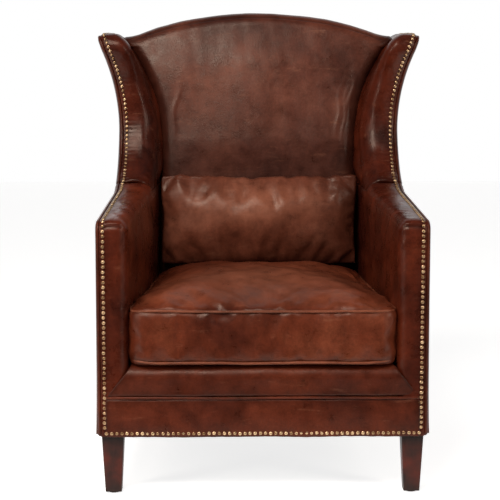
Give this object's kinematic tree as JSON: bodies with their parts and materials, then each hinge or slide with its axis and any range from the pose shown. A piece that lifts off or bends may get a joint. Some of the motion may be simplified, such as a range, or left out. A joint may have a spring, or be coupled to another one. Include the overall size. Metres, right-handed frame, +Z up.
{
  "type": "wingback armchair",
  "caption": "High-backed armchair with flared wings, closed padded arms, a loose box seat cushion, a loose lumbar cushion, a camel-shaped back top and tapered square legs.",
  "frame": {"origin": "on the floor, under the middle of the chair's width and depth", "axes": "+X to the right as seen by someone who faces the chair, +Y to the back of the chair, +Z up"},
  "size_m": [0.84, 0.83, 1.1265],
  "materials": {
    "cover_leather": "satin",
    "frame_wood": "matte",
    "leg_wood": "satin",
    "glide_nylon": "matte",
    "fitting_steel": "satin",
    "webbing_cloth": "matte",
    "cushion_foam": "matte",
    "deck_cloth": "matte",
    "dust_cloth": "matte"
  },
  "bodies": {
    "frame": {"arm_front_left": "cover_leather", "arm_front_right": "cover_leather", "arm_rail_left": "frame_wood", "arm_rail_right": "frame_wood", "arm_tack_rail_left": "frame_wood", "arm_tack_rail_right": "frame_wood", "back_post_left": "frame_wood", "back_post_right": "frame_wood", "back_tack_rail": "frame_wood", "back_top_rail": "frame_wood", "back_webbing_level": "webbing_cloth", "back_webbing_upright": "webbing_cloth", "corner_block_front_left": "frame_wood", "corner_block_front_right": "frame_wood", "corner_block_rear_left": "frame_wood", "corner_block_rear_right": "frame_wood", "dust_cover": "dust_cloth", "front_leg_glide_left": "glide_nylon", "front_leg_glide_right": "glide_nylon", "front_leg_left": "leg_wood", "front_leg_right": "leg_wood", "front_lip_band": "cover_leather", "front_post_left": "frame_wood", "front_post_right": "frame_wood", "front_rail": "frame_wood", "front_rail_panel": "cover_leather", "front_welt": "cover_leather", "inside_arm_left": "cover_leather", "inside_arm_right": "cover_leather", "inside_back": "cover_leather", "inside_wing_left": "cover_leather", "inside_wing_right": "cover_leather", "leg_bolts": "fitting_steel", "leg_plates": "fitting_steel", "outside_arm_left": "cover_leather", "outside_arm_right": "cover_leather", "outside_back": "cover_leather", "outside_wing_left": "cover_leather", "outside_wing_right": "cover_leather", "rear_leg_glide_left": "glide_nylon", "rear_leg_glide_right": "glide_nylon", "rear_leg_left": "leg_wood", "rear_leg_right": "leg_wood", "rear_rail": "frame_wood", "seat_deck": "deck_cloth", "seat_webbing_crosswise": "webbing_cloth", "seat_webbing_lengthwise": "webbing_cloth", "side_rail_left": "frame_wood", "side_rail_right": "frame_wood", "wing_rail_left": "frame_wood", "wing_rail_right": "frame_wood", "wing_stay_left": "frame_wood", "wing_stay_right": "frame_wood"},
    "seat_cushion": {"seat_cushion_cover": "cover_leather", "seat_cushion_core": "cushion_foam"},
    "lumbar_cushion": {"lumbar_cushion_cover": "cover_leather", "lumbar_cushion_core": "cushion_foam"}
  },
  "joints": [
    {"name": "seat_cushion_slide", "type": "slide", "parent": "frame", "child": "seat_cushion", "axis": [0, -1, 0], "range_m": [0, 0.62]},
    {"name": "lumbar_cushion_lift", "type": "slide", "parent": "frame", "child": "lumbar_cushion", "axis": [0, -0.5, 0.866], "range_m": [0, 0.5]}
  ]
}
